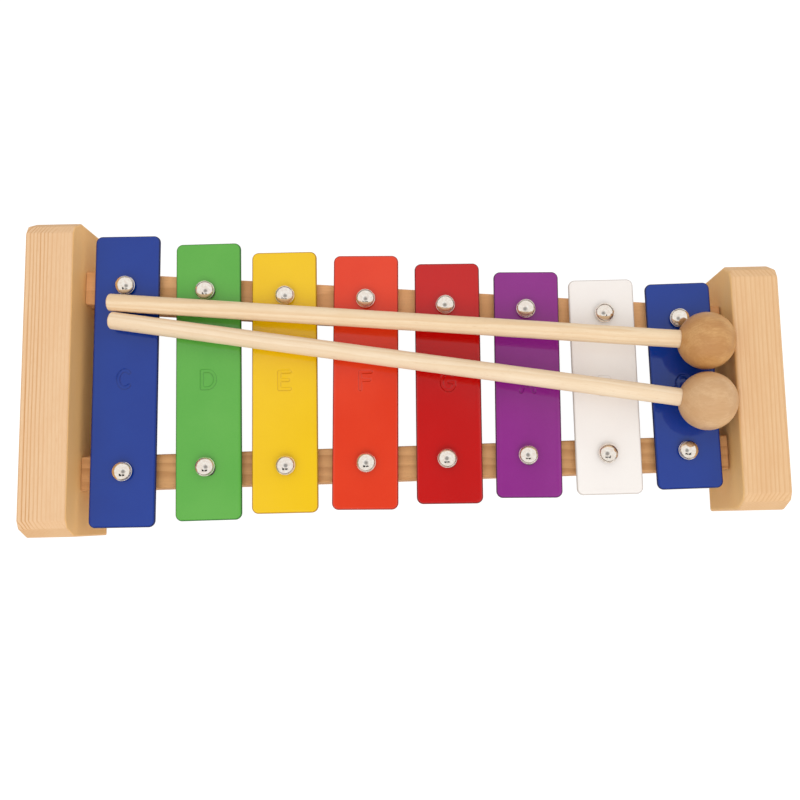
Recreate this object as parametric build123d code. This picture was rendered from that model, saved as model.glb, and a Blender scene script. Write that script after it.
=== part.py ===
from build123d import *
import math
import os

# Eight-note toy metallophone with two wooden mallets lying on its bars.
# Millimetres. +X runs from the low notes to the high notes, +Y to the rear, +Z up.
# The origin is on the table, under the middle of the whole object.

# ---------------------------------------------------------------- driving dimensions

# End blocks
block_gap = 240.6            # between the inner faces of the two blocks
block_thickness = 17.5       # along X
block_height = 40.0
left_block_length = 117.0    # along Y, at the low notes
right_block_length = 91.0    # along Y, at the high notes
right_block_y = -8.8         # the right block's middle, measured from the left block's
corner_along = 6.0           # the sanded top corners, along Y
corner_down = 8.0            # and down Z
crease_along = 3.0           # each corner is two facets, which meet this far out
crease_down = 1.6            # and this far below the top
crease_edge = 1.2            # rounding between facets
left_block_edge = 0.8        # rounding of the long edges
right_block_edge = 1.3

# The centre line of the bars drifts forward towards the high notes,
# so that the front rail is nearly square to the blocks and the rear rail slants.
row_centre_y = -4.1
row_slope = -0.0325

# Rails
rail_width = 12.6
rail_height = 16.2
rail_bottom_z = 11.0
rail_half_spread = 29.9      # from the centre line to each rail, at x = 0
rail_taper = 0.0448          # how much each rail closes in per mm of x
rail_edge = 0.7
tenon_shoulder = 1.5         # how much narrower and lower a tenon is on each side
tenon_length = 8.0           # into the block
left_joint_gap = 0.15        # between a rail's shoulder and its block
right_joint_gap = 0.7        # the right ends are not driven fully home
mortise_slack = 0.1          # glue gap round a tenon

# Bars: node name, length, offsets in X and Y from its even place, turn in degrees.
# Lengths fall with pitch as one over its square root. The bars lie loose on their pins.
bars = [
    ("bar_c_low", 109.4, -0.5, -0.2, -0.2),
    ("bar_d", 103.9, 0.9, 0.0, 0.5),
    ("bar_e", 98.0, -0.5, 0.0, 0.1),
    ("bar_f", 95.4, -0.1, 0.3, -0.9),
    ("bar_g", 90.2, 1.0, 0.2, -0.5),
    ("bar_a", 84.8, 0.8, 0.0, -0.9),
    ("bar_b", 80.6, 0.0, -0.6, 0.2),
    ("bar_c_high", 77.2, -0.5, 0.1, 0.8),
]
bar_pitch = 29.6
bar_row_x = 0.55             # the middle of the row of bars
bar_width = 24.3
bar_thickness = 1.2
bar_corner = 2.5             # corners seen from above
bar_top_edge = 0.5           # rolled edge of the stamped plate
bar_hole_radius = 2.6

# Felt washers between rail and bar
washer_radius = 4.6
washer_hole_radius = 1.6
washer_thickness = 2.5
rest_gap = 0.05              # keeps bar and felt from overlapping

# Pins: nails whose domed heads stand on a flange, driven into the rails by hand
pin_shank_radius = 1.2
pin_depth = 12.0             # in the rail, point included
pin_point = 2.4
pin_flange_radius = 3.6
pin_flange = 0.5             # thickness of the flange
pin_head_radius = 3.45
pin_flank = 1.2              # straight side of the head
pin_dome = 1.6               # height of the dome above it
head_clearance = 0.8         # above a bar at rest
front_pin_lean = 5.0         # degrees to the rear; the rear pins stand straight

# How far each pin is from its even place in X and from its rail's centre line in Y
rear_pin_offsets = [
    (-0.6, 0.6), (-0.4, 0.4), (-0.2, 0.1), (0.4, 0.7),
    (0.5, 0.0), (1.0, 0.1), (0.6, 0.2), (-1.0, -0.3),
]
front_pin_offsets = [
    (-0.4, -0.3), (0.25, 0.3), (-0.1, -0.1), (-0.1, -0.1),
    (-0.1, 0.4), (0.2, 0.8), (-0.3, 0.2), (-0.4, 0.4),
]

# Mallets: a straight stick in a drilled ball
stick_radius = 3.25
stick_end_edge = 1.0
ball_hole_past_centre = 3.0  # how far the stick goes past the middle of its ball
mallet_gap = 0.4             # between a mallet and the bars it lies on
rear_ball_radius = 10.35     # the two balls are turned to slightly different sizes
front_ball_radius = 10.5
rear_ball = (109.5, 6.8)
front_ball = (108.73, -15.08)
rear_tip = (-108.8, 27.35)   # the free end of the stick in the rear mallet
front_tip = (-108.05, 20.55)

# ---------------------------------------------------------------- worked-out places

rail_top_z = rail_bottom_z + rail_height
bar_bottom_z = rail_top_z + washer_thickness + rest_gap
bar_top_z = bar_bottom_z + bar_thickness
tenon_end_x = block_gap / 2 + tenon_length
REAR = 1
FRONT = -1


def even_x(i):
    """The even place of bar number i along the row."""
    return bar_row_x + (i - (len(bars) - 1) / 2) * bar_pitch


def centre_y(x):
    """The centre line of the bars."""
    return row_centre_y + row_slope * x


def rail_y(side, x):
    """The centre line of the rear or front rail."""
    return centre_y(x) + side * (rail_half_spread - rail_taper * x)


def pin_points(side):
    """Where each pin enters the top of its rail."""
    offsets = rear_pin_offsets if side == REAR else front_pin_offsets
    points = []
    for i, (offset_x, offset_y) in enumerate(offsets):
        x = even_x(i) + offset_x
        points.append((x, rail_y(side, x) + offset_y))
    return points


# ---------------------------------------------------------------- sub-parts


def strip(side, ends_x, half_width, bottom_z, top_z):
    """A straight strip along one rail's centre line, with its ends cut parallel to the blocks."""
    slope = row_slope - side * rail_taper
    half_y = half_width * math.hypot(1, slope)
    ends = [(x, rail_y(side, x)) for x in ends_x]
    low = [(x, y - half_y) for x, y in ends]
    high = [(x, y + half_y) for x, y in reversed(ends)]
    plan = Polygon(*low, *high, align=None)
    return Pos(0, 0, bottom_z) * extrude(plan, top_z - bottom_z)


def tenons(side, slack):
    """Both tenons of a rail and what lies between them, or with slack, their mortises."""
    inset = tenon_shoulder - slack
    ends_x = (-tenon_end_x, tenon_end_x)
    half_width = rail_width / 2 - inset
    return strip(side, ends_x, half_width, rail_bottom_z + inset, rail_top_z - inset)


def rail(side):
    """A rail with rounded long edges, a tenon at each end and a pilot hole under each pin."""
    shoulders_x = (left_joint_gap - block_gap / 2, block_gap / 2 - right_joint_gap)
    body = strip(side, shoulders_x, rail_width / 2, rail_bottom_z, rail_top_z)
    long_edges = [edge for edge in body.edges() if edge.length > block_gap / 2]
    body = fillet(long_edges, rail_edge) + tenons(side, 0)
    for x, y in pin_points(side):
        body -= driven(pilot_hole(), side, x, y)
    return body


def end_block(length, edge_radius):
    """A block with sanded top corners and softened edges, standing on z = 0 about x = 0."""
    half = length / 2
    top_y = half - corner_along
    right_side = [
        (half, block_height - corner_down),
        (top_y + crease_along, block_height - crease_down),
        (top_y, block_height),
    ]
    left_side = [(-y, z) for y, z in reversed(right_side)]
    outline = Polygon((-half, 0), (half, 0), *right_side, *left_side, align=None)
    upper = [corner for corner in outline.vertices() if corner.Y > block_height / 2]
    outline = fillet(upper, crease_edge)
    body = extrude(Plane.YZ * outline, block_thickness / 2, both=True)
    rims = body.faces().filter_by(Axis.X)
    return fillet([edge for face in rims for edge in face.edges()], edge_radius)


def mortised(block):
    """An end block in its place, with a mortise for each rail's tenon."""
    return block - tenons(REAR, mortise_slack) - tenons(FRONT, mortise_slack)


def bar(i):
    """A stamped bar with two clearance holes on its own centre line, over the rails."""
    length, offset_x, offset_y, turn = bars[i][1:]
    x = even_x(i) + offset_x
    y = centre_y(x) + offset_y
    place = Pos(x, y, bar_bottom_z) * Rot(0, 0, turn)
    plan = RectangleRounded(bar_width, length, bar_corner)
    body = extrude(plan, bar_thickness)
    body = fillet(body.faces().sort_by(Axis.Z)[-1].outer_wire().edges(), bar_top_edge)
    for side in (REAR, FRONT):
        hole_y = rail_y(side, x) - y
        body -= Pos(0, hole_y, bar_thickness / 2) * Cylinder(bar_hole_radius, 2 * bar_thickness)
    return place * body


def washer(x, y):
    """A felt ring on the rail round one pin."""
    ring = Circle(washer_radius) - Circle(washer_hole_radius)
    return Pos(x, y, rail_top_z) * extrude(ring, washer_thickness)


def turned(outline):
    """A solid turned about the vertical axis; outline is a closed wire in X, Z."""
    return revolve(Plane.XZ * make_face(outline), Axis.Z)


def driven(shape, side, x, y):
    """A pin or its hole, made with the rail's top at z = 0, driven into a rail at a point."""
    lean = -front_pin_lean if side == FRONT else 0
    return Pos(x, y, rail_top_z) * Rot(lean, 0, 0) * shape


def shank_outline(top_z):
    """Half of a pointed shank, from its point on the axis up to a height."""
    return Polyline(
        (0, -pin_depth), (pin_shank_radius, pin_point - pin_depth), (pin_shank_radius, top_z)
    )


def pilot_hole():
    """The hole that one pin is driven into."""
    top_z = 1
    sides = Polyline((pin_shank_radius, top_z), (0, top_z), (0, -pin_depth))
    return turned(shank_outline(top_z) + sides)


def pin():
    """A nail: pointed shank, thin round-edged flange, straight flank and a flat dome on top."""
    head_z = bar_top_z + head_clearance - rail_top_z
    flange_z = head_z + pin_flange
    flank_z = flange_z + pin_flank
    top_z = flank_z + pin_dome
    dome_radius = (pin_head_radius**2 + pin_dome**2) / (2 * pin_dome)
    half_angle = math.asin(pin_head_radius / dome_radius) / 2
    halfway = (
        dome_radius * math.sin(half_angle),
        top_z - dome_radius * (1 - math.cos(half_angle)),
    )
    round_edge = pin_flange / 2
    under = Line((pin_shank_radius, head_z), (pin_flange_radius - round_edge, head_z))
    edge = ThreePointArc(
        (pin_flange_radius - round_edge, head_z),
        (pin_flange_radius, head_z + round_edge),
        (pin_flange_radius - round_edge, flange_z),
    )
    flank = Polyline(
        (pin_flange_radius - round_edge, flange_z),
        (pin_head_radius, flange_z),
        (pin_head_radius, flank_z),
    )
    dome = ThreePointArc((pin_head_radius, flank_z), halfway, (0, top_z))
    axis = Line((0, top_z), (0, -pin_depth))
    return turned(shank_outline(head_z) + under + edge + flank + dome + axis)


def mallet(ball_place, ball_radius, tip):
    """The stick and the drilled ball of one mallet, stick sloping down to its free end."""
    ball_centre = Vector(*ball_place, bar_top_z + mallet_gap + ball_radius)
    tip_centre = Vector(*tip, bar_top_z + mallet_gap + stick_radius)
    axis = (ball_centre - tip_centre).normalized()
    length = (ball_centre - tip_centre).length + ball_hole_past_centre
    frame = Plane(origin=tip_centre, z_dir=axis)
    blank = extrude(Circle(stick_radius), length)
    free_end = blank.faces().sort_by(Axis.Z)[0].edges()
    stick = frame * fillet(free_end, stick_end_edge)
    ball = Pos(*ball_centre) * Sphere(ball_radius) - frame * blank
    return stick, ball


# ---------------------------------------------------------------- write the parts


def all_parts():
    """Every node of the object, by name."""
    block_x = (block_gap + block_thickness) / 2
    left_block = Pos(-block_x, 0, 0) * end_block(left_block_length, left_block_edge)
    right_block = Pos(block_x, right_block_y, 0) * end_block(right_block_length, right_block_edge)
    parts = {"left_end_block": mortised(left_block), "right_end_block": mortised(right_block)}
    for side, word in ((REAR, "rear"), (FRONT, "front")):
        points = pin_points(side)
        parts[f"{word}_rail"] = rail(side)
        parts[f"{word}_pins"] = Compound(children=[driven(pin(), side, x, y) for x, y in points])
        for (x, y), row in zip(points, bars):
            note = row[0].removeprefix("bar_")
            parts[f"felt_washer_{note}_{word}"] = washer(x, y)
    for i, row in enumerate(bars):
        parts[row[0]] = bar(i)
    mallets = {
        "rear_mallet": mallet(rear_ball, rear_ball_radius, rear_tip),
        "front_mallet": mallet(front_ball, front_ball_radius, front_tip),
    }
    for name, (stick, ball) in mallets.items():
        parts[f"{name}_stick"] = stick
        parts[f"{name}_ball"] = ball
    return parts


os.makedirs("parts", exist_ok=True)
for name, shape in all_parts().items():
    export_step(shape, f"parts/{name}.step")
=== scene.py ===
import math

import bmesh
import bpy
import numpy as np
from mathutils import Matrix, Vector, noise


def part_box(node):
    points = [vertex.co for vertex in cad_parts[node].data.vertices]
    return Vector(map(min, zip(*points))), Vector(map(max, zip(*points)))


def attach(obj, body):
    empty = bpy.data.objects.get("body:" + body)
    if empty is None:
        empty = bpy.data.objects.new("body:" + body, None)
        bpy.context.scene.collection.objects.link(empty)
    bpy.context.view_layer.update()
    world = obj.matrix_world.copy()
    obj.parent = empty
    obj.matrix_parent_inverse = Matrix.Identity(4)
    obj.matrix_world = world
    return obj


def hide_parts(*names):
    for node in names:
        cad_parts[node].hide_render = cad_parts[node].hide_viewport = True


# Looks for the eight-note toy metallophone: glossy enamelled bars with stamped note letters,
# nickel-plated nails, felt washers, pale end blocks, brown rails and two turned mallets.
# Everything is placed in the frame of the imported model, whose origin is on the table under
# the middle of the object. Dimensions of the object are in millimetres and are multiplied by
# MM where a mesh is made; the stage is in metres.

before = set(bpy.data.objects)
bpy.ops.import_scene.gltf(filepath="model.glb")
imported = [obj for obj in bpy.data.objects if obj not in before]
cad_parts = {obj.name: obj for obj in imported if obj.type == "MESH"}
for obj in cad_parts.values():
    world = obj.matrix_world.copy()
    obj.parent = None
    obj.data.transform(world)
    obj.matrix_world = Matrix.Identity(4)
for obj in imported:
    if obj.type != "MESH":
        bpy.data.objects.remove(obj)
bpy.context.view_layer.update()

MM = 0.001

# ---------------------------------------------------------------- dimensions, mm

# Bars: node, note letter, material slot, length, turn in degrees
BARS = (
    ("bar_c_low", "C", "blue_enamel", 109.4, -0.2),
    ("bar_d", "D", "green_enamel", 103.9, 0.5),
    ("bar_e", "E", "yellow_enamel", 98.0, 0.1),
    ("bar_f", "F", "orange_red_enamel", 95.4, -0.9),
    ("bar_g", "G", "red_enamel", 90.2, -0.5),
    ("bar_a", "A", "purple_enamel", 84.8, -0.9),
    ("bar_b", "B", "white_enamel", 80.6, 0.2),
    ("bar_c_high", "C", "blue_enamel", 77.2, 0.8),
)
BAR_WIDTH = 24.3
BAR_THICKNESS = 1.2
BAR_CORNER = 2.5
BAR_ROLL = 0.8          # rolled upper edge of the stamped plate
BAR_BURR = 0.12         # small rounding of the lower edge
BEAD_HEIGHT = 0.02      # paint that has gathered beside the rolled edge
BEAD_INWARD = 1.3       # how far in from the outline its crest lies
BEAD_WIDTH = 0.6
HOLE_RADIUS = 2.6
HOLE_SEGMENTS = 64

# Stamped letters
LETTER_WIDTH = 6.6
LETTER_HEIGHT = 8.2
LETTER_STROKE = 0.85    # half the width of a stroke
LETTER_WALL = 0.5       # width of its sloping wall
LETTER_DEPTH = 0.27

# Pins
PIN_FLANGE_RADIUS = 3.6
PIN_FLANGE = 0.5
PIN_HEAD_RADIUS = 3.45
PIN_FLANK = 1.2
PIN_DOME = 1.6
PIN_SHANK_RADIUS = 1.2
PIN_DEPTH = 12.0
PIN_POINT = 2.4
PIN_HEAD_Z = 4.55       # underside of the flange above the rail
PIN_SEGMENTS = 72
FRONT_PIN_LEAN = 5.0    # degrees to the rear
HAND_LEAN = 0.8         # degrees; no two nails are driven quite alike

# Washers
WASHER_HOLE_RADIUS = 1.6
WASHER_SOFT_EDGE = 0.3
WASHER_FUZZ = 0.07      # unevenness of the cut edge
WASHER_SLACK = 0.08     # keeps the uneven edge inside the CAD washer
WASHER_SEGMENTS = 96

# Rails: their centre lines spread about the slanting centre line of the row of bars
RAIL_TOP_Z = 27.2
ROW_CENTRE_Y = -4.1
ROW_SLOPE = -0.0325
RAIL_HALF_SPREAD = 29.9
RAIL_TAPER = 0.0448

# Mallets
STICK_RADIUS = 3.25
STICK_END_EDGE = 1.0
STICK_UNEVEN = 0.012    # share of the radius
STICK_RINGS = 110       # along the stick
STICK_SEGMENTS = 72
BALL_HOLE_SLACK = 0.04
BALL_HOLE_RIM = 0.3     # rounding of the hole's mouth
BALL_SEGMENTS = 144
HOLE_PAST_CENTRE = 3.0  # how far the stick goes past the middle of its ball
TIP_Z = 34.6            # height of the middle of a stick's free end
MALLETS = (             # body, free end of the stick, radius of the ball
    ("rear_mallet", (-108.8, 27.35), 10.35),
    ("front_mallet", (-108.05, 20.55), 10.5),
)

SHARP_ANGLE = 38        # degrees between faces that meet in a sharp edge

# ---------------------------------------------------------------- mesh helpers


def new_piece(name, vertices, faces, body, nodes, material):
    """A smooth-shaded mesh piece in the model's frame, which stands for some CAD nodes."""
    mesh = bpy.data.meshes.new(name)
    mesh.from_pydata([tuple(v) for v in vertices], [], faces)
    mesh.validate()
    obj = bpy.data.objects.new(name, mesh)
    bpy.context.scene.collection.objects.link(obj)
    mesh.materials.append(material)
    fix_normals(mesh)
    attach(obj, body)
    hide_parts(*nodes)
    return obj


def fix_normals(mesh):
    """Faces point outwards and look smooth, except across sharp edges."""
    bm = bmesh.new()
    bm.from_mesh(mesh)
    bmesh.ops.recalc_face_normals(bm, faces=bm.faces)
    for face in bm.faces:
        face.smooth = True
    bm.to_mesh(mesh)
    bm.free()
    mesh.set_sharp_from_angle(angle=math.radians(SHARP_ANGLE))


def lathe(profile, segments, wobble=None):
    """Vertices and faces turned about Z from (radius, z) pairs, the first and last on the axis."""
    vertices = [Vector((0, 0, profile[0][1]))]
    for radius, z in profile[1:-1]:
        for k in range(segments):
            angle = 2 * math.pi * k / segments
            point = Vector((radius * math.cos(angle), radius * math.sin(angle), z))
            vertices.append(wobble(point) if wobble else point)
    vertices.append(Vector((0, 0, profile[-1][1])))
    last = len(vertices) - 1
    rings = len(profile) - 2
    faces = []
    for k in range(segments):
        after = (k + 1) % segments
        faces.append((0, 1 + after, 1 + k))
        for ring in range(rings - 1):
            low = 1 + ring * segments
            high = low + segments
            faces.append((low + k, low + after, high + after, high + k))
        top = 1 + (rings - 1) * segments
        faces.append((top + k, top + after, last))
    return vertices, faces


def ring_lathe(profile, segments, wobble=None):
    """Vertices and faces turned about Z from a closed loop of (radius, z) pairs, none on the axis."""
    vertices = []
    for radius, z in profile:
        for k in range(segments):
            angle = 2 * math.pi * k / segments
            point = Vector((radius * math.cos(angle), radius * math.sin(angle), z))
            vertices.append(wobble(point) if wobble else point)
    faces = []
    count = len(profile)
    for ring in range(count):
        low = ring * segments
        high = (ring + 1) % count * segments
        for k in range(segments):
            after = (k + 1) % segments
            faces.append((low + k, low + after, high + after, high + k))
    return vertices, faces


def arc(centre, radius, start, end, steps):
    """Points on an arc, in degrees from the first axis; centre and radius are pairs."""
    angles = np.radians(np.linspace(start, end, steps + 1))
    return [
        (centre[0] + radius[0] * math.cos(a), centre[1] + radius[1] * math.sin(a))
        for a in angles
    ]


def middle(node):
    """The middle of a CAD node's box, in metres."""
    low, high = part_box(node)
    return (low + high) / 2


# ---------------------------------------------------------------- node helpers


def srgb(red, green, blue):
    """A linear colour from 0 to 255 display values."""
    def linear(value):
        value /= 255
        return value / 12.92 if value <= 0.04045 else ((value + 0.055) / 1.055) ** 2.4
    return (linear(red), linear(green), linear(blue), 1.0)


class Graph:
    """The node tree of one material, with a short call for each kind of node used here."""

    def __init__(self, name):
        self.material = bpy.data.materials.new(name)
        self.material.use_nodes = True
        self.tree = self.material.node_tree
        self.shader = self.tree.nodes["Principled BSDF"]

    def node(self, kind, **settings):
        made = self.tree.nodes.new(kind)
        for key, value in settings.items():
            setattr(made, key, value)
        return made

    def feed(self, socket, value):
        """Links an output to a socket, or sets the socket to a constant."""
        if isinstance(value, bpy.types.NodeSocket):
            self.tree.links.new(value, socket)
        else:
            socket.default_value = value

    def place(self, scale=(1, 1, 1), turn=(0, 0, 0), shift=(0, 0, 0), source=None):
        """Object coordinates in millimetres, turned (degrees), shifted and scaled."""
        if source is None:
            source = self.node("ShaderNodeTexCoord").outputs["Object"]
            metres = self.node("ShaderNodeVectorMath", operation="SCALE")
            self.feed(metres.inputs[0], source)
            metres.inputs["Scale"].default_value = 1000.0
            source = metres.outputs[0]
        mapping = self.node("ShaderNodeMapping")
        self.feed(mapping.inputs["Vector"], source)
        mapping.inputs["Location"].default_value = shift
        mapping.inputs["Rotation"].default_value = [math.radians(a) for a in turn]
        mapping.inputs["Scale"].default_value = scale
        return mapping.outputs["Vector"]

    def noise(self, vector, scale, detail=2.0, roughness=0.5, colour=False):
        made = self.node("ShaderNodeTexNoise")
        self.feed(made.inputs["Vector"], vector)
        made.inputs["Scale"].default_value = scale
        made.inputs["Detail"].default_value = detail
        made.inputs["Roughness"].default_value = roughness
        return made.outputs["Color" if colour else "Fac"]

    def math(self, operation, a, b=0.0):
        made = self.node("ShaderNodeMath", operation=operation)
        self.feed(made.inputs[0], a)
        self.feed(made.inputs[1], b)
        return made.outputs[0]

    def vector(self, operation, a, b=(0, 0, 0)):
        made = self.node("ShaderNodeVectorMath", operation=operation)
        self.feed(made.inputs[0], a)
        self.feed(made.inputs[1], b)
        one_number = operation in ("LENGTH", "DOT_PRODUCT")
        return made.outputs["Value" if one_number else "Vector"]

    def spread(self, value, low, high, new_low=0.0, new_high=1.0):
        """Maps low..high to new_low..new_high with soft ends."""
        made = self.node("ShaderNodeMapRange", interpolation_type="SMOOTHSTEP")
        self.feed(made.inputs["Value"], value)
        made.inputs["From Min"].default_value = low
        made.inputs["From Max"].default_value = high
        made.inputs["To Min"].default_value = new_low
        made.inputs["To Max"].default_value = new_high
        return made.outputs["Result"]

    def mix(self, factor, a, b):
        made = self.node("ShaderNodeMix", data_type="RGBA")
        self.feed(made.inputs[0], factor)
        self.feed(made.inputs[6], a)
        self.feed(made.inputs[7], b)
        return made.outputs[2]

    def bump(self, height, distance):
        """A bump whose height of 1 stands for distance millimetres."""
        made = self.node("ShaderNodeBump")
        made.inputs["Strength"].default_value = 1.0
        made.inputs["Distance"].default_value = distance * MM
        self.feed(made.inputs["Height"], height)
        return made.outputs["Normal"]


# ---------------------------------------------------------------- materials


def enamel(name, paint, shade, edge):
    """Glossy stoved enamel: slightly uneven, with painted shade where it rolls over the edge, a few
    rubs.
    """
    g = Graph(name)
    at = g.place()
    cloud = g.noise(at, 0.045, detail=3.0)
    fleck = g.noise(at, 1.6, detail=2.0)
    tone = g.math("ADD", g.math("MULTIPLY", cloud, 0.8), g.math("MULTIPLY", fleck, 0.2))
    tone = g.spread(tone, 0.3, 0.7)
    facing = g.node("ShaderNodeSeparateXYZ")
    g.feed(facing.inputs[0], g.node("ShaderNodeTexCoord").outputs["Normal"])
    # Painted shade: where the surface slants over the rolled edge, the colour turns towards the edge
    # colour
    painted_edge_shade_mask = g.spread(facing.outputs["Z"], 0.985, 0.75, 0.0, 0.9)
    colour = g.mix(painted_edge_shade_mask, g.mix(tone, shade, paint), edge)
    g.feed(g.shader.inputs["Base Color"], colour)
    rubs = g.noise(g.place(scale=(3.0, 0.25, 1.0), turn=(0, 0, 17)), 1.1, detail=4.0)
    haze = g.noise(at, 0.12, detail=4.0, roughness=0.6)
    gloss = g.math("ADD", g.spread(rubs, 0.62, 0.8, 0, 0.05), g.spread(haze, 0.4, 0.8, 0, 0.05))
    g.feed(g.shader.inputs["Roughness"], g.math("ADD", gloss, 0.06))
    g.shader.inputs["Specular IOR Level"].default_value = 0.5
    peel = g.bump(g.noise(at, 0.9, detail=1.0), 0.006)
    g.feed(g.shader.inputs["Normal"], peel)
    return g.material


def nickel():
    """Bright nickel plate: almost white, faintly mottled where it was driven home."""
    g = Graph("nickel_plate")
    at = g.place()
    mottle = g.noise(at, 1.1, detail=4.0, roughness=0.62)
    tone = g.spread(mottle, 0.35, 0.7)
    g.feed(g.shader.inputs["Base Color"], g.mix(tone, srgb(246, 234, 222), srgb(255, 250, 242)))
    g.shader.inputs["Metallic"].default_value = 1.0
    g.feed(g.shader.inputs["Roughness"], g.spread(mottle, 0.3, 0.75, 0.15, 0.06))
    dents = g.bump(g.noise(at, 0.6, detail=2.0), 0.05)
    g.feed(g.shader.inputs["Normal"], dents)
    return g.material


def felt():
    """Pressed grey wool felt."""
    g = Graph("felt")
    at = g.place()
    fibres = g.noise(g.place(scale=(1, 1, 3)), 3.5, detail=5.0, roughness=0.7)
    tone = g.spread(fibres, 0.3, 0.7)
    g.feed(g.shader.inputs["Base Color"], g.mix(tone, srgb(112, 106, 100), srgb(176, 170, 162)))
    g.feed(g.shader.inputs["Roughness"], g.spread(fibres, 0.2, 0.8, 0.98, 0.85))
    g.shader.inputs["Sheen Weight"].default_value = 0.4
    fluff = g.bump(g.noise(at, 4.5, detail=4.0, roughness=0.7), 0.12)
    g.feed(g.shader.inputs["Normal"], fluff)
    return g.material


def wood(
    name, turn, pith, ring_gap, pale, late, streak, end, contrast,
    gloss=0.5, lean=(0, 0), bend=2.0, fade=None, wax=0.0, side=None, mottle=0.3, early=0.15,
):
    """Wood whose grain runs along the object's Z after a turn in degrees.

    pith is where the middle of the tree lies across the grain, in mm, and lean tilts it.
    Growth rings, ring_gap mm apart, go from pale to late wood with contrast, under fine
    fibre streaks; with fade, a pair of places across the grain, the rings grow fainter from
    one to the other. early is the share of a ring that stays pale, and bend how far the
    rings wander, in mm. End grain is nearer to the colour end and rougher. side, if given,
    is painted light: a yellower tone on the faces that look along X, standing in for warm
    light bounced between the wooden parts. mottle is how strongly the tone varies in soft
    patches, gloss the roughness, and wax the weight of a clear coat.
    """
    g = Graph(name)
    turned = g.place(turn=turn)
    leaning = g.place(turn=(lean[0], lean[1], 0), source=turned)
    slow = g.place(scale=(1, 1, 0.3), source=leaning)
    wander = g.vector("SUBTRACT", g.noise(slow, 0.03, colour=True), (0.5, 0.5, 0.5))
    wander = g.vector("MULTIPLY", wander, (bend, bend, 0.0))
    bent = g.vector("ADD", leaning, wander)
    across = g.place(scale=(1, 1, 0), shift=(-pith[0], -pith[1], 0), source=bent)
    radius = g.math("DIVIDE", g.vector("LENGTH", across), ring_gap)
    even_grain = g.place(scale=(1, 1, 0.06), source=turned)
    uneven = g.math("MULTIPLY", g.noise(even_grain, 0.16, detail=3.0), 1.6)
    phase = g.math("FRACT", g.math("ADD", radius, uneven))
    rise = g.spread(phase, early, 0.86)
    fall = g.spread(phase, 0.88, 1.0, 1.0, 0.0)
    ring = g.math("MULTIPLY", rise, fall)
    long_fibre = g.place(scale=(1, 1, 0.03), source=turned)
    fibre = g.noise(long_fibre, 3.0, detail=4.0, roughness=0.65)
    hair = g.noise(long_fibre, 9.0, detail=2.0)
    short_fibre = g.place(scale=(1, 1, 0.12), source=turned)
    pore = g.spread(g.noise(short_fibre, 5.0, detail=1.0), 0.66, 0.76)
    blotch = g.noise(g.place(scale=(1, 1, 0.5), source=turned), 0.13, detail=4.0, roughness=0.6)
    year = g.noise(g.place(scale=(1, 1, 0.02), source=turned), 0.35, detail=2.0)
    late_part = g.math("MULTIPLY", ring, g.spread(year, 0.35, 0.65, 0.5 * contrast, contrast))
    if fade:
        place_across = g.node("ShaderNodeSeparateXYZ")
        g.feed(place_across.inputs[0], turned)
        left = g.spread(place_across.outputs["X"], fade[0], fade[1], 1.0, 0.25)
        late_part = g.math("MULTIPLY", late_part, left)
    colour = g.mix(late_part, pale, late)
    colour = g.mix(g.spread(fibre, 0.42, 0.72, 0.0, 0.55), colour, streak)
    colour = g.mix(g.spread(hair, 0.5, 0.8, 0.0, 0.3), colour, late)
    colour = g.mix(g.math("MULTIPLY", pore, 0.35), colour, end)
    colour = g.mix(g.spread(blotch, 0.38, 0.66, 0.0, mottle), colour, streak)
    facing = g.node("ShaderNodeTexCoord").outputs["Normal"]
    facing = g.place(turn=turn, source=facing)
    along = g.math("ABSOLUTE", g.vector("DOT_PRODUCT", facing, (0, 0, 1)))
    # Painted light: faces that look along X take the side tone, warm bounce light painted into the
    # colour
    if side:
        painted_bounce_facing = g.math("ABSOLUTE", g.vector("DOT_PRODUCT", facing, (1, 0, 0)))
        colour = g.mix(g.spread(painted_bounce_facing, 0.5, 1.0, 0.0, 0.9), colour, side)
    end_grain = g.spread(along, 0.35, 0.95)
    colour = g.mix(g.math("MULTIPLY", end_grain, 0.3), colour, end)
    g.feed(g.shader.inputs["Base Color"], colour)
    rough = g.spread(fibre, 0.3, 0.7, gloss + 0.06, gloss - 0.06)
    rough = g.math("ADD", rough, g.math("MULTIPLY", end_grain, 0.2))
    g.feed(g.shader.inputs["Roughness"], rough)
    g.shader.inputs["Specular IOR Level"].default_value = 0.35
    g.shader.inputs["Coat Weight"].default_value = wax
    g.shader.inputs["Coat Roughness"].default_value = 0.3
    relief = g.math("ADD", g.math("MULTIPLY", fibre, 0.7), g.math("MULTIPLY", ring, 0.5))
    relief = g.math("SUBTRACT", relief, g.math("MULTIPLY", pore, 0.8))
    g.feed(g.shader.inputs["Normal"], g.bump(relief, 0.035))
    return g.material


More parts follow.
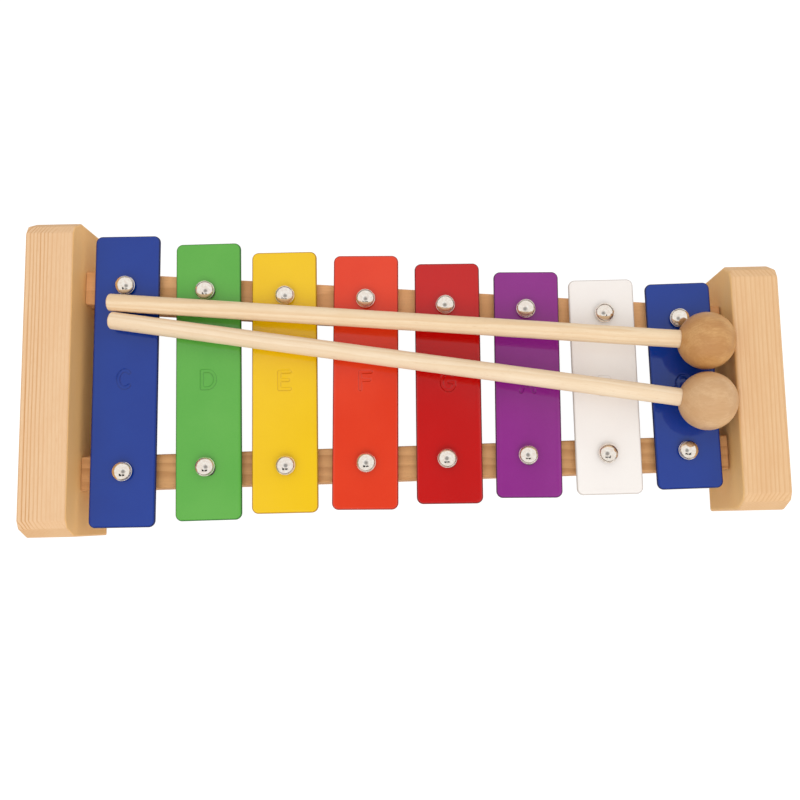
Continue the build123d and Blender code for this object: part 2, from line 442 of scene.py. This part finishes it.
def all_materials():
    """Every material of the object, by record slot, with one for each differing piece of wood."""
    made = {
        # The third colour of each enamel is painted shade for its rolled edges
        "blue_enamel": enamel(
            "blue_enamel", srgb(12, 55, 147), srgb(8, 50, 141), srgb(4, 22, 80)
        ),
        "green_enamel": enamel(
            "green_enamel", srgb(96, 174, 70), srgb(88, 169, 64), srgb(34, 104, 30)
        ),
        "yellow_enamel": enamel(
            "yellow_enamel", srgb(240, 196, 8), srgb(236, 191, 5), srgb(176, 124, 8)
        ),
        "orange_red_enamel": enamel(
            "orange_red_enamel", srgb(226, 61, 26), srgb(222, 55, 20), srgb(150, 28, 12)
        ),
        "red_enamel": enamel(
            "red_enamel", srgb(195, 10, 7), srgb(189, 7, 5), srgb(112, 6, 6)
        ),
        "purple_enamel": enamel(
            "purple_enamel", srgb(141, 36, 136), srgb(135, 30, 130), srgb(70, 10, 68)
        ),
        "white_enamel": enamel(
            "white_enamel", srgb(244, 239, 235), srgb(241, 235, 231), srgb(206, 197, 190)
        ),
        "nickel_plate": nickel(),
        "felt": felt(),
    }
    made["left_block"] = wood(
        "left_block_wood", turn=(90, 0, 0), pith=(-199, 30), ring_gap=1.0, bend=1.0,
        pale=srgb(234, 196, 154), late=srgb(200, 140, 80), streak=srgb(226, 180, 134),
        # side: painted warm bounce light on the faces that look along X
        end=srgb(222, 172, 112), contrast=1.0, fade=(-135, -124), side=srgb(252, 198, 126),
        early=0.45,
    )
    made["right_block"] = wood(
        "right_block_wood", turn=(90, 0, 0), pith=(220, 60), ring_gap=1.1, bend=1.5,
        pale=srgb(232, 192, 146), late=srgb(208, 156, 102), streak=srgb(222, 174, 124),
        # side: painted warm bounce light on the faces that look along X
        end=srgb(232, 190, 142), contrast=0.55, side=srgb(240, 192, 124), early=0.35,
    )
    made["rear_rail"] = wood(
        "rear_rail_wood", turn=(0, 90, 0), pith=(-50, 24), ring_gap=1.3, lean=(0.5, 1.0),
        pale=srgb(245, 187, 129), late=srgb(211, 149, 88), streak=srgb(226, 165, 107),
        end=srgb(154, 98, 55), contrast=0.6, gloss=0.6,
    )
    made["front_rail"] = wood(
        "front_rail_wood", turn=(0, 90, 0), pith=(-46, -60), ring_gap=1.4, lean=(0.7, -0.8),
        pale=srgb(225, 171, 115), late=srgb(187, 129, 74), streak=srgb(203, 147, 93),
        end=srgb(136, 86, 47), contrast=0.7, gloss=0.6,
    )
    made["rear_stick"] = wood(
        "rear_stick_wood", turn=(0, 0, 0), pith=(20, 30), ring_gap=1.5, lean=(1.2, 0.6),
        pale=srgb(241, 217, 183), late=srgb(222, 184, 138), streak=srgb(231, 199, 158),
        end=srgb(216, 170, 116), contrast=0.6, bend=4.0,
    )
    made["front_stick"] = wood(
        "front_stick_wood", turn=(0, 0, 0), pith=(-26, 22), ring_gap=1.8, lean=(0.8, -1.0),
        pale=srgb(242, 221, 192), late=srgb(224, 190, 148), streak=srgb(232, 203, 166),
        end=srgb(216, 170, 116), contrast=0.5, bend=4.0,
    )
    made["rear_ball"] = wood(
        "rear_ball_wood", turn=(0, 82, 12), pith=(44, -38), ring_gap=1.0, lean=(4, 3),
        pale=srgb(216, 168, 108), late=srgb(182, 128, 70), streak=srgb(182, 126, 68),
        end=srgb(176, 122, 66), contrast=0.2, gloss=0.42, bend=4.0, wax=0.35, mottle=0.8,
    )
    made["front_ball"] = wood(
        "front_ball_wood", turn=(0, 84, 10), pith=(-40, -44), ring_gap=1.2, lean=(-3, 4),
        pale=srgb(222, 184, 140), late=srgb(196, 150, 102), streak=srgb(198, 152, 104),
        end=srgb(192, 144, 94), contrast=0.2, gloss=0.42, bend=4.0, wax=0.35, mottle=0.7,
    )
    return made


# ---------------------------------------------------------------- bars

BAR_FINE_STEP = 0.2     # between the mesh lines over the letter
BAR_FINE_X = 5.0        # half of the area that they cover
BAR_FINE_Y = 6.0
BAR_COARSE_X = 1.2      # between the lines elsewhere, across and along the bar
BAR_COARSE_Y = 2.5


def letter_strokes(letter):
    """Lines of points, one for each stroke, in a box 1 wide and 1 high."""
    half = (0.5, 0.5)
    bowl = arc((0.42, 0.5), (0.58, 0.5), 90, -90, 12)
    strokes = {
        "A": [[(0, 0), (0.5, 1), (1, 0)], [(0.2, 0.36), (0.8, 0.36)]],
        "B": [
            [(0.1, 0), (0.1, 1)],
            [(0.1, 1)] + arc((0.6, 0.77), (0.28, 0.23), 90, -90, 8) + [(0.1, 0.54)],
            [(0.1, 0.54)] + arc((0.62, 0.27), (0.34, 0.27), 90, -90, 8) + [(0.1, 0)],
        ],
        "C": [arc(half, half, 48, 312, 20)],
        "D": [[(0, 0), (0, 1)], [(0, 1)] + bowl + [(0, 0)]],
        "E": [[(0.9, 1), (0.1, 1), (0.1, 0), (0.9, 0)], [(0.1, 0.52), (0.78, 0.52)]],
        "F": [[(0.9, 1), (0.1, 1), (0.1, 0)], [(0.1, 0.54), (0.8, 0.54)]],
        "G": [arc(half, half, 48, 330, 20) + [(0.95, 0.46), (0.58, 0.46)]],
    }
    return strokes[letter]


def letter_depth(letter, x, y):
    """How far the letter is pressed into a plate at each of many points, mm."""
    inner_width = LETTER_WIDTH - 2 * LETTER_STROKE
    inner_height = LETTER_HEIGHT - 2 * LETTER_STROKE
    nearest = np.full(x.shape, 1e9)
    for stroke in letter_strokes(letter):
        points = [((u - 0.5) * inner_width, (v - 0.5) * inner_height) for u, v in stroke]
        for (ax, ay), (bx, by) in zip(points, points[1:]):
            run = np.array([bx - ax, by - ay])
            share = ((x - ax) * run[0] + (y - ay) * run[1]) / (run @ run)
            share = np.clip(share, 0, 1)
            away = np.hypot(x - ax - share * run[0], y - ay - share * run[1])
            nearest = np.minimum(nearest, away)
    wall = np.clip((nearest - LETTER_STROKE + LETTER_WALL) / LETTER_WALL, 0, 1)
    return LETTER_DEPTH * (1 - wall * wall * (3 - 2 * wall))


def plate_lines(half, fine_half, coarse_step):
    """Grid lines across a plate: close over the letter, in the corners and on the rolled edges."""
    fine = np.arange(0, fine_half, BAR_FINE_STEP)
    corner = half - BAR_CORNER
    coarse = np.linspace(fine_half, corner, 1 + round((corner - fine_half) / coarse_step))
    to_roll = np.linspace(corner, half - BAR_ROLL, 8)
    roll = half - BAR_ROLL * (1 - np.cos(np.linspace(math.pi / 2, 0, 9)))
    side = np.concatenate([fine, coarse, to_roll[1:], roll[1:]])
    return np.concatenate([-side[:0:-1], side])


def rounded_plan(x, y, half_x, half_y):
    """Moves the grid's corner squares onto the plate's round corners.

    Also gives how far each point is in from the outline.
    """
    u = np.abs(x) - (half_x - BAR_CORNER)
    v = np.abs(y) - (half_y - BAR_CORNER)
    in_corner = (u > 0) & (v > 0)
    reach = np.where(in_corner, np.hypot(u, v), 1.0)
    pull = np.where(in_corner, np.maximum(u, v) / reach, 1.0)
    round_x = np.where(in_corner, np.sign(x) * (half_x - BAR_CORNER + u * pull), x)
    round_y = np.where(in_corner, np.sign(y) * (half_y - BAR_CORNER + v * pull), y)
    inward = np.minimum(half_x - np.abs(x), half_y - np.abs(y))
    return round_x, round_y, inward


def rolled(inward, radius):
    """How far a rounded edge lies below the face, from the way in from the outline."""
    left = np.clip(radius - inward, 0, radius)
    return radius - np.sqrt(np.maximum(radius * radius - left * left, 0))


def plate(letter, length):
    """Vertices and faces of a bar about its own middle, mm, with its letter pressed in."""
    half_x = BAR_WIDTH / 2
    half_y = length / 2
    xs = plate_lines(half_x, BAR_FINE_X, BAR_COARSE_X)
    ys = plate_lines(half_y, BAR_FINE_Y, BAR_COARSE_Y)
    grid_x, grid_y = np.meshgrid(xs, ys, indexing="ij")
    x, y, inward = rounded_plan(grid_x, grid_y, half_x, half_y)
    bead = BEAD_HEIGHT * np.exp(-(((inward - BEAD_INWARD) / BEAD_WIDTH) ** 2))
    top = BAR_THICKNESS / 2 - rolled(inward, BAR_ROLL) - letter_depth(letter, x, y)
    top += np.where(inward > BAR_ROLL, bead, 0) - BEAD_HEIGHT
    low = -BAR_THICKNESS / 2 + rolled(inward, BAR_BURR)
    vertices = [(a, b, c) for a, b, c in zip(x.flat, y.flat, top.flat)]
    vertices += [(a, b, c) for a, b, c in zip(x.flat, y.flat, low.flat)]
    rows, columns = grid_x.shape
    under = rows * columns
    faces = []
    for i in range(rows - 1):
        for j in range(columns - 1):
            a = i * columns + j
            quad = (a, a + columns, a + columns + 1, a + 1)
            faces.append(quad)
            faces.append(tuple(under + k for k in reversed(quad)))
    rim = [i * columns for i in range(rows)]
    rim += [(rows - 1) * columns + j for j in range(1, columns)]
    rim += [i * columns + columns - 1 for i in range(rows - 2, -1, -1)]
    rim += [j for j in range(columns - 2, 0, -1)]
    for a, b in zip(rim, rim[1:] + rim[:1]):
        faces.append((a, under + a, under + b, b))
    return vertices, faces


def drill(obj, points, radius):
    """Cuts vertical holes through a plate at some points in the model's frame, in metres."""
    reach = 3 * MM
    profile = [(0, -reach), (radius, -reach), (radius, reach), (0, reach)]
    for point in points:
        vertices, faces = lathe(profile, HOLE_SEGMENTS)
        mesh = bpy.data.meshes.new("cutter")
        mesh.from_pydata([v + point for v in vertices], [], faces)
        cutter = bpy.data.objects.new("cutter", mesh)
        bpy.context.scene.collection.objects.link(cutter)
        cut = obj.modifiers.new("hole", "BOOLEAN")
        cut.operation = "DIFFERENCE"
        cut.solver = "EXACT"
        cut.object = cutter
        bpy.context.view_layer.update()
        evaluated = obj.evaluated_get(bpy.context.evaluated_depsgraph_get())
        done = bpy.data.meshes.new_from_object(evaluated)
        obj.modifiers.clear()
        obj.data = done
        bpy.data.objects.remove(cutter)
    fix_normals(obj.data)


def make_bars(materials):
    """Eight plates, each with its letter and its two holes over the rails."""
    for node, letter, slot, length, turn in BARS:
        centre = middle(node)
        place = Matrix.Translation(centre) @ Matrix.Rotation(math.radians(turn), 4, "Z")
        vertices, faces = plate(letter, length)
        vertices = [place @ (Vector(v) * MM) for v in vertices]
        bar = new_piece(f"{node}_plate", vertices, faces, node, [node], materials[slot])
        holes = []
        for sign in (1, -1):
            x = centre.x / MM
            rail_y = ROW_CENTRE_Y + ROW_SLOPE * x + sign * (RAIL_HALF_SPREAD - RAIL_TAPER * x)
            holes.append(place @ Vector((0, rail_y * MM - centre.y, 0)))
        drill(bar, holes, HOLE_RADIUS * MM)


# ---------------------------------------------------------------- pins and washers


def pin_profile():
    """Half outline of a nail from its point to the top of its dome, in mm above its rail."""
    radius = PIN_HEAD_RADIUS
    flange_z = PIN_HEAD_Z + PIN_FLANGE
    flank_z = flange_z + PIN_FLANK
    top_z = flank_z + PIN_DOME
    dome_radius = (radius**2 + PIN_DOME**2) / (2 * PIN_DOME)
    widest = math.asin(radius / dome_radius)
    shank = PIN_SHANK_RADIUS
    neck = 0.15
    profile = [(0, -PIN_DEPTH), (shank, PIN_POINT - PIN_DEPTH)]
    profile += [(shank, PIN_HEAD_Z - neck), (shank + neck, PIN_HEAD_Z)]
    rounding = PIN_FLANGE / 2
    centre = (PIN_FLANGE_RADIUS - rounding, PIN_HEAD_Z + rounding)
    profile += arc(centre, (rounding, rounding), -90, 90, 10)
    # The flank is drawn in a little, and its upper edge rolls over into the dome
    profile += [(radius - 0.05, flange_z), (radius - 0.1, flange_z + 0.08)]
    profile += [(radius - 0.1, flank_z - 0.45), (radius - 0.05, flank_z - 0.2)]
    profile += [(radius - 0.03, flank_z - 0.05)]
    steps = 18
    for k in range(1, steps):
        angle = (widest - 0.04) * (1 - k / steps)
        drop = dome_radius * (1 - math.cos(angle))
        profile.append((dome_radius * math.sin(angle), top_z - drop))
    profile.append((0, top_z))
    return profile


def make_pins(materials):
    """Sixteen nails; those in front lean to the rear, and each a little its own way."""
    for side in ("rear", "front"):
        lean = -FRONT_PIN_LEAN if side == "front" else 0.0
        for i, row in enumerate(BARS):
            note = row[0].removeprefix("bar_")
            washer = middle(f"felt_washer_{note}_{side}") / MM
            seed = i + (20 if side == "front" else 0)
            lean_x = lean + HAND_LEAN * math.sin(2.3 * seed + 0.4)
            lean_y = HAND_LEAN * math.cos(3.1 * seed + 1.1)
            turn = Matrix.Rotation(math.radians(lean_x), 4, "X")
            turn = turn @ Matrix.Rotation(math.radians(lean_y), 4, "Y")
            foot = Vector((washer.x, washer.y, RAIL_TOP_Z))
            vertices, faces = lathe(pin_profile(), PIN_SEGMENTS)
            vertices = [(foot + turn @ v) * MM for v in vertices]
            new_piece(
                f"pin_{note}_{side}", vertices, faces, "frame", [f"{side}_pins"],
                materials["nickel_plate"],
            )


def washer_profile(radius, thickness):
    """Closed outline of a felt ring with soft corners, mm."""
    soft = WASHER_SOFT_EDGE
    loop = arc((radius - soft, thickness - soft), (soft, soft), 0, 90, 4)
    loop += arc((WASHER_HOLE_RADIUS + soft, thickness - soft), (soft, soft), 90, 180, 4)
    loop += arc((WASHER_HOLE_RADIUS + soft, soft), (soft, soft), 180, 270, 4)
    loop += arc((radius - soft, soft), (soft, soft), 270, 360, 4)
    return loop


def make_washers(materials):
    """Sixteen felt rings, each a little unevenly cut."""
    for row in BARS:
        note = row[0].removeprefix("bar_")
        for side in ("rear", "front"):
            node = f"felt_washer_{note}_{side}"
            low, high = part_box(node)
            radius = (high.x - low.x) / 2 / MM - WASHER_SLACK
            thickness = (high.z - low.z) / MM
            base = Vector(((low.x + high.x) / 2, (low.y + high.y) / 2, low.z))

            def fuzz(point, base=base):
                where = (point + base / MM) * 2.1
                out = Vector((point.x, point.y, 0)).normalized()
                return point + out * WASHER_FUZZ * noise.noise(where)

            profile = washer_profile(radius, thickness)
            vertices, faces = ring_lathe(profile, WASHER_SEGMENTS, fuzz)
            vertices = [base + v * MM for v in vertices]
            new_piece(
                f"washer_{note}_{side}", vertices, faces, "frame", [node],
                materials["felt"],
            )


# ---------------------------------------------------------------- mallets


def stick_profile(length):
    """Half outline of a dowel from its rounded free end at z = 0 to its far end, mm."""
    edge = STICK_END_EDGE
    profile = [(0, 0), (1.2, 0)]
    profile += [
        (STICK_RADIUS - edge + edge * math.sin(a), edge - edge * math.cos(a))
        for a in np.radians(np.linspace(0, 90, 8))
    ]
    steps = STICK_RINGS
    profile += [(STICK_RADIUS, edge + (length - edge) * k / steps) for k in range(1, steps + 1)]
    profile.append((0, length))
    return profile


def ball_profile(radius):
    """Half outline of a drilled ball about its middle, from the bottom of its hole to its pole."""
    hole = STICK_RADIUS + BALL_HOLE_SLACK
    rim = BALL_HOLE_RIM
    mouth = -math.sqrt(radius**2 - (hole + rim) ** 2)
    profile = [(0, HOLE_PAST_CENTRE), (hole, HOLE_PAST_CENTRE), (hole, 0), (hole, mouth + rim)]
    profile += [
        (hole + rim * (1 - math.cos(a)), mouth + rim * (1 - math.sin(a)))
        for a in np.radians(np.linspace(20, 90, 4))
    ]
    start = math.asin((hole + rim) / radius) + 0.03
    for angle in np.linspace(start, math.pi, 72)[:-1]:
        profile.append((radius * math.sin(angle), -radius * math.cos(angle)))
    profile.append((0, radius))
    return profile


def make_mallets(materials):
    """Two mallets: a slightly uneven stick in a drilled ball."""
    for body, tip, radius in MALLETS:
        word = body.removesuffix("_mallet")
        low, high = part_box(f"{body}_ball")
        half = radius * MM
        ball_centre = Vector((high.x - half, (low.y + high.y) / 2, (low.z + high.z) / 2))
        tip_centre = Vector((tip[0], tip[1], TIP_Z)) * MM
        axis = ball_centre - tip_centre
        turn = axis.to_track_quat("Z", "Y").to_matrix().to_4x4()
        length = axis.length / MM + HOLE_PAST_CENTRE

        def uneven(point):
            out = Vector((point.x, point.y, 0))
            return point + out * STICK_UNEVEN * (noise.noise(point * 0.12) - 0.5)

        vertices, faces = lathe(stick_profile(length), STICK_SEGMENTS, uneven)
        stick = new_piece(
            f"{word}_stick", [v * MM for v in vertices], faces, body, [f"{body}_stick"],
            materials[f"{word}_stick"],
        )
        stick.matrix_world = Matrix.Translation(tip_centre) @ turn
        vertices, faces = lathe(ball_profile(radius), BALL_SEGMENTS)
        ball = new_piece(
            f"{word}_ball", [turn @ (v * MM) for v in vertices], faces, body, [f"{body}_ball"],
            materials[f"{word}_ball"],
        )
        ball.location = ball_centre


# ---------------------------------------------------------------- stage, m

SURROUND = (1.0, 0.99, 0.975, 1)
SURROUND_STRENGTH = 0.88
PATCH_STRENGTH = 0.32           # in the middle of the dim patch overhead
PATCH_HALF = 0.17
SPOT_DISTANCE = (-1.25, 2.0)    # Y and Z of the dark shapes in front
HORIZON_RADIUS = 2.0
HORIZON_TOP = 0.36
PANEL_PLACE = (0.05, -0.6, 1.0)
PANEL_SIZE = (1.3, 1.0)
PANEL_WATTS = 4.2
CAMERA_PLACE = (0.00999, -0.05427, 0.34856)
CAMERA_TURN = (0.11614, -0.00526, -0.02129)     # radians about X, Y, Z, in the order ZYX


def quad(name, centre, half_x, half_y, turn=(0, 0, 0)):
    """A flat stage piece, in metres, facing its own +Z."""
    mesh = bpy.data.meshes.new(name)
    signs = ((-1, -1), (1, -1), (1, 1), (-1, 1))
    corners = [(sign_x * half_x, sign_y * half_y, 0) for sign_x, sign_y in signs]
    mesh.from_pydata(corners, [], [(0, 1, 2, 3)])
    obj = bpy.data.objects.new(name, mesh)
    obj.location = centre
    obj.rotation_euler = [math.radians(a) for a in turn]
    bpy.context.scene.collection.objects.link(obj)
    return obj


def plain(name, colour, glow=0.0):
    """A matt stage material, with a white glow if asked."""
    g = Graph(name)
    g.shader.inputs["Base Color"].default_value = colour
    g.shader.inputs["Roughness"].default_value = 0.8
    g.shader.inputs["Specular IOR Level"].default_value = 0.0
    g.shader.inputs["Emission Color"].default_value = (1, 1, 1, 1)
    g.shader.inputs["Emission Strength"].default_value = glow
    return g.material


def make_floor():
    """The white sheet that is seen, and the duller table top that lights the object from below."""
    shown = quad("floor_shown", (0, 0, -0.0002), 6, 6)
    shown.data.materials.append(plain("floor_white", (0.12, 0.12, 0.12, 1), glow=0.985))
    shown.visible_diffuse = False
    shown.visible_glossy = False
    shown.visible_shadow = False
    shown.visible_transmission = False
    bounce = quad("floor_bounce", (0, 0, -0.0004), 1.5, 1.5)
    bounce.data.materials.append(plain("floor_pale", (0.75, 0.74, 0.73, 1)))
    bounce.visible_camera = False


def only_in_gloss(obj):
    """Keeps a stage piece out of sight and out of the light, so that only reflections show it."""
    obj.visible_camera = False
    obj.visible_diffuse = False
    obj.visible_shadow = False


def make_spots():
    """Two dark shapes high in front, small spots in the polished pins."""
    for name, x in (("spot_left", -0.78), ("spot_right", 0.42)):
        card = quad(name, (x, *SPOT_DISTANCE), 0.48, 0.45, turn=(32, 0, 0))
        card.data.materials.append(plain("spot_dark", (0.03, 0.03, 0.03, 1)))
        only_in_gloss(card)


def make_dim_overhead():
    """A dimmer patch that fades into the surround, seen in the gloss of the middle bars."""
    patch = quad("dim_overhead", (-0.01, -0.03, 0.36), PATCH_HALF, PATCH_HALF, turn=(180, 0, 0))
    g = Graph("dim_overhead")
    away = g.vector("LENGTH", g.node("ShaderNodeTexCoord").outputs["Object"])
    g.shader.inputs["Base Color"].default_value = (0, 0, 0, 1)
    g.shader.inputs["Specular IOR Level"].default_value = 0.0
    g.shader.inputs["Emission Color"].default_value = (1, 1, 1, 1)
    strength = g.spread(away, 0.05, 0.16, PATCH_STRENGTH, SURROUND_STRENGTH)
    g.feed(g.shader.inputs["Emission Strength"], strength)
    patch.data.materials.append(g.material)
    only_in_gloss(patch)


def make_horizon():
    """A low dim wall all round, which darkens the rims of the polished pins."""
    steps = 48
    vertices = []
    for k in range(steps):
        angle = 2 * math.pi * k / steps
        x = HORIZON_RADIUS * math.cos(angle)
        y = HORIZON_RADIUS * math.sin(angle)
        vertices += [(x, y, -0.1), (x, y, HORIZON_TOP)]
    faces = []
    for k in range(steps):
        a = 2 * k
        b = (2 * k + 2) % (2 * steps)
        faces.append((a, b, b + 1, a + 1))
    mesh = bpy.data.meshes.new("horizon")
    mesh.from_pydata(vertices, [], faces)
    wall = bpy.data.objects.new("horizon", mesh)
    bpy.context.scene.collection.objects.link(wall)
    wall.data.materials.append(plain("horizon_dim", (0.24, 0.19, 0.15, 1)))
    only_in_gloss(wall)


def make_lights():
    """A soft overhead panel and a bright white surround."""
    scene = bpy.context.scene
    light = bpy.data.lights.new("overhead", "AREA")
    light.shape = "RECTANGLE"
    light.size, light.size_y = PANEL_SIZE
    light.energy = PANEL_WATTS
    panel = bpy.data.objects.new("overhead", light)
    panel.location = PANEL_PLACE
    panel.rotation_euler = (-Vector(PANEL_PLACE)).to_track_quat("-Z", "Y").to_euler()
    panel.visible_camera = False
    panel.visible_glossy = False
    scene.collection.objects.link(panel)
    world = bpy.data.worlds.new("surround")
    world.use_nodes = True
    scene.world = world
    tree = world.node_tree
    background = tree.nodes["Background"]
    background.inputs["Color"].default_value = SURROUND
    background.inputs["Strength"].default_value = SURROUND_STRENGTH


def make_camera():
    """A camera almost straight above the bars."""
    scene = bpy.context.scene
    data = bpy.data.cameras.new("camera")
    data.sensor_width = 36.0
    data.lens = 38.99
    data.shift_x = -0.0456
    data.shift_y = 0.0201
    data.clip_start = 0.01
    data.clip_end = 20.0
    camera = bpy.data.objects.new("camera", data)
    camera.location = CAMERA_PLACE
    camera.rotation_mode = "ZYX"
    camera.rotation_euler = CAMERA_TURN
    scene.collection.objects.link(camera)
    scene.camera = camera


def paint_cad_nodes(materials):
    """The blocks and rails keep their CAD shape and get their wood."""
    woods = {
        "left_end_block": "left_block",
        "right_end_block": "right_block",
        "rear_rail": "rear_rail",
        "front_rail": "front_rail",
    }
    for node, wood_name in woods.items():
        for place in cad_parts[node].material_slots:
            place.material = materials[wood_name]


def main():
    """Builds the stage and every piece of the object."""
    bpy.context.scene.view_settings.view_transform = "Standard"
    make_camera()
    make_lights()
    make_floor()
    make_spots()
    make_dim_overhead()
    make_horizon()
    materials = all_materials()
    paint_cad_nodes(materials)
    make_bars(materials)
    make_pins(materials)
    make_washers(materials)
    make_mallets(materials)


main()
